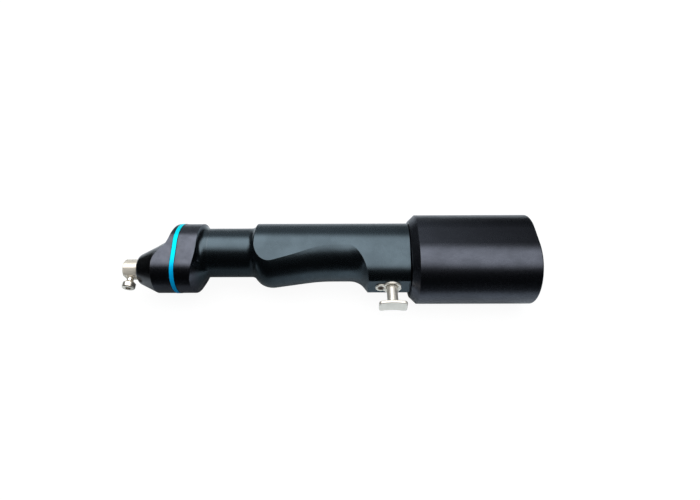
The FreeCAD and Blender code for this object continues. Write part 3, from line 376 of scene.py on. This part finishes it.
# A coil in the place of the solid spring
def make_spring():
    low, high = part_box("trigger_spring")
    middle = (low + high) / 2
    outer = (high.x - low.x) / 2
    inner = outer - spring_wire
    rise = high.y - low.y - spring_wire
    wire_corners = ((inner, 0.0), (outer, 0.0), (outer, spring_wire), (inner, spring_wire))
    count = spring_turns * spring_steps
    points = []
    for step in range(count + 1):
        angle = 2 * math.pi * step / spring_steps
        y = low.y + rise * step / count
        for radius, lift in wire_corners:
            x = middle.x + radius * math.cos(angle)
            z = middle.z + radius * math.sin(angle)
            points.append((x, y + lift, z))
    faces = [(3, 2, 1, 0)]
    for start in range(0, 4 * count, 4):
        for corner in range(4):
            near, far = start + corner, start + (corner + 1) % 4
            faces.append((near, far, far + 4, near + 4))
    faces.append(tuple(range(4 * count, 4 * count + 4)))
    spring = add_piece("trigger_return_spring", points, faces, finishes["screw_steel"])
    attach(spring, "handpiece")
    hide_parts("trigger_spring")
    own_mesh(spring)


# White table: plain to the camera but for a faint shadow, and lit by the lamps in reflections,
# with a painted shadow of the tool beside the head
def table_material():
    material, tree, output = new_material("white_table")
    position = tree.nodes.new("ShaderNodeNewGeometry").outputs["Position"]
    from_middle = vector_node(tree, "SUBTRACT", position, (table_middle_x, 0.0, 0.0))["Vector"]
    flat = vector_node(tree, "MULTIPLY", from_middle, table_squash)["Vector"]
    away = vector_node(tree, "LENGTH", flat)["Value"]

    place = split(tree, position)
    front = map_range(tree, place["Y"], front_span, front_far, front_near)
    left_open = map_range(tree, place["X"], left_open_span, 1.0, 0.0)
    right_open = map_range(tree, place["X"], right_open_span, 0.0, 1.0)
    open_share = math_node(tree, "MAXIMUM", left_open, right_open)
    # Painted shadow of the tool on the table beside the head
    shade = map_range(tree, open_share, (0.0, 1.0), front_painted_shadow, 1.0, smooth=False)
    front = math_node(tree, "MULTIPLY", front, shade)
    behind = map_range(tree, place["Y"], behind_span, 0.0, 1.0)
    back = math_node(tree, "MULTIPLY", behind, math_node(tree, "SUBTRACT", behind_share, front))
    mirrored = math_node(tree, "ADD", front, back)

    seen = tree.nodes.new("ShaderNodeLightPath").outputs["Is Camera Ray"]
    lit = mix_colour(tree, mirrored, (0.0, 0.0, 0.0), room_colour)
    matt = tree.nodes.new("ShaderNodeBsdfDiffuse")
    matt_colour = mix_colour(tree, seen, lit, (seen_grey, seen_grey, seen_grey))
    link(tree, matt_colour, matt.inputs["Color"])
    glow = tree.nodes.new("ShaderNodeEmission")
    white = map_range(tree, away, seen_span, seen_near, seen_far)
    link(tree, math_node(tree, "MULTIPLY", seen, white), glow.inputs["Strength"])
    both = tree.nodes.new("ShaderNodeAddShader")
    link(tree, glow.outputs["Emission"], both.inputs[0])
    link(tree, matt.outputs["BSDF"], both.inputs[1])
    link(tree, both.outputs["Shader"], output.inputs["Surface"])
    return material


def make_table():
    low = cad_box[0][2]
    corners = [(-table_half, -table_half, low), (table_half, -table_half, low),
               (table_half, table_half, low), (-table_half, table_half, low)]
    table = add_piece("table", corners, [(0, 1, 2, 3)], table_material())


# Room: white to the camera, as bright as its sides are in gloss and glass, and even to the rest
def make_room():
    world = bpy.data.worlds.new("room")
    world.use_nodes = True
    bpy.context.scene.world = world
    tree = world.node_tree
    tree.nodes.clear()
    output = tree.nodes.new("ShaderNodeOutputWorld")
    background = tree.nodes.new("ShaderNodeBackground")
    direction = place_on(tree, "Generated")
    right = map_range(tree, direction["X"], room_right_span, room_far, room_far_right)
    left = map_range(tree, direction["X"], room_left_span, room_left, 1.0)
    ahead = map_range(tree, direction["Y"], room_back_span, 0.0, 1.0)
    sides = math_node(tree, "MULTIPLY", ahead, math_node(tree, "MULTIPLY", right, left))
    sides = math_node(tree, "ADD", sides, room_near)

    path = tree.nodes.new("ShaderNodeLightPath").outputs
    seen = path["Is Camera Ray"]
    mirrored = math_node(tree, "MAXIMUM", path["Is Glossy Ray"], path["Is Transmission Ray"])
    plain = math_node(tree, "SUBTRACT", 1.0, math_node(tree, "MAXIMUM", seen, mirrored))
    strength = math_node(tree, "ADD", seen, math_node(tree, "MULTIPLY", mirrored, sides))
    even = math_node(tree, "MULTIPLY", plain, room_diffuse)
    strength = math_node(tree, "ADD", strength, even)
    link(tree, strength, background.inputs["Strength"])
    colour = mix_colour(tree, seen, room_colour, (1.0, 1.0, 1.0))
    link(tree, colour, background.inputs["Color"])
    link(tree, background.outputs["Background"], output.inputs["Surface"])


# Three sheets of light over each other, so that the box fades out along its sides
def make_light():
    share = box_light_radiance / len(box_light_widths)
    for number, wide in enumerate(box_light_widths):
        name = "soft_box_%d" % number
        lamp = bpy.data.lights.new(name, "AREA")
        lamp.shape = "RECTANGLE"
        lamp.size = box_light_long
        lamp.size_y = wide
        lamp.energy = share * math.pi * box_light_long * wide
        holder = bpy.data.objects.new(name, lamp)
        holder.location = box_light_place
        holder.location[2] += number * sheet_gap
        holder.rotation_euler = (0.0, 0.0, math.radians(box_light_turn_deg))
        bpy.context.scene.collection.objects.link(holder)


def make_camera():
    lens = bpy.data.cameras.new("camera")
    lens.sensor_width = sensor_width_mm
    lens.lens = focal_px / photo_width_px * sensor_width_mm
    lens.clip_start = camera_clip
    camera = bpy.data.objects.new("camera", lens)
    turn = Matrix.Rotation(math.radians(90.0 - camera_height_deg), 4, "X")
    turn = turn @ Matrix.Rotation(camera_pan, 4, "Y")
    turn = turn @ Matrix.Rotation(camera_tilt, 4, "X")
    turn = turn @ Matrix.Rotation(camera_roll, 4, "Z")
    camera.matrix_world = Matrix.Translation(camera_place) @ turn
    bpy.context.scene.collection.objects.link(camera)
    bpy.context.scene.camera = camera


make_camera()
dress_nodes()
make_spring()
make_table()
make_room()
make_light()
bpy.context.scene.view_settings.view_transform = "Standard"
